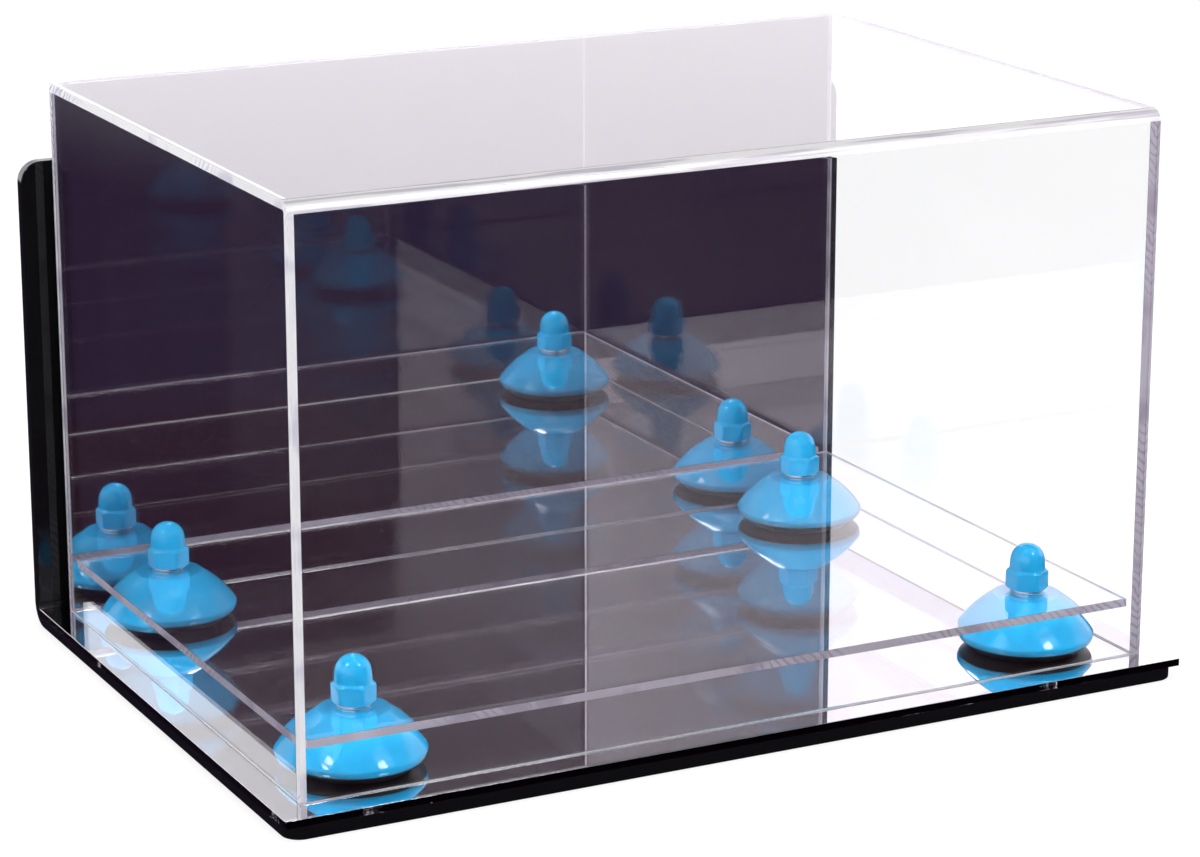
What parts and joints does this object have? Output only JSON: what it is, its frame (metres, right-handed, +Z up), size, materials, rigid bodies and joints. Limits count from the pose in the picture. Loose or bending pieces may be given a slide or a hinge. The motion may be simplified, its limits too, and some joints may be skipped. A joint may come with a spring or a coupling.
{
  "type": "cap display case",
  "caption": "Clear lift-off display case for a cap, on a mirror base with a raised clear deck on coloured domed risers, carried by a black L-shaped wall bracket",
  "frame": {"origin": "bottom centre of the whole case, on the underside of the wall bracket's shelf", "axes": "+X along the length of the case, +Y towards the wall behind it, +Z up; the front faces -Y"},
  "size_m": [0.318, 0.2274, 0.19],
  "materials": {
    "clear_acrylic": "clear polished acrylic sheet",
    "mirror_acrylic": "mirror acrylic sheet",
    "black_acrylic": "polished black acrylic sheet",
    "blue_plastic": "glossy sky-blue moulded plastic",
    "black_plastic": "black moulded plastic",
    "steel": "bright zinc-plated steel"
  },
  "bodies": {
    "base": {"wall_bracket": "black_acrylic", "base_mirror": "mirror_acrylic", "deck": "clear_acrylic", "riser_front_left": "blue_plastic", "riser_foot_front_left": "black_plastic", "cap_nut_front_left": "blue_plastic", "washer_front_left": "steel", "screw_front_left": "steel", "riser_front_right": "blue_plastic", "riser_foot_front_right": "black_plastic", "cap_nut_front_right": "blue_plastic", "washer_front_right": "steel", "screw_front_right": "steel", "riser_back_left": "blue_plastic", "riser_foot_back_left": "black_plastic", "cap_nut_back_left": "blue_plastic", "washer_back_left": "steel", "screw_back_left": "steel", "riser_back_right": "blue_plastic", "riser_foot_back_right": "black_plastic", "cap_nut_back_right": "blue_plastic", "washer_back_right": "steel", "screw_back_right": "steel"},
    "cover": {"cover_front_top": "clear_acrylic", "cover_left_side": "clear_acrylic", "cover_right_side": "clear_acrylic", "cover_back_mirror": "mirror_acrylic"}
  },
  "joints": [
    {"name": "cover_lift", "type": "slide", "parent": "base", "child": "cover", "axis": [0, 0, 1], "range_m": [0, 0.2]}
  ]
}
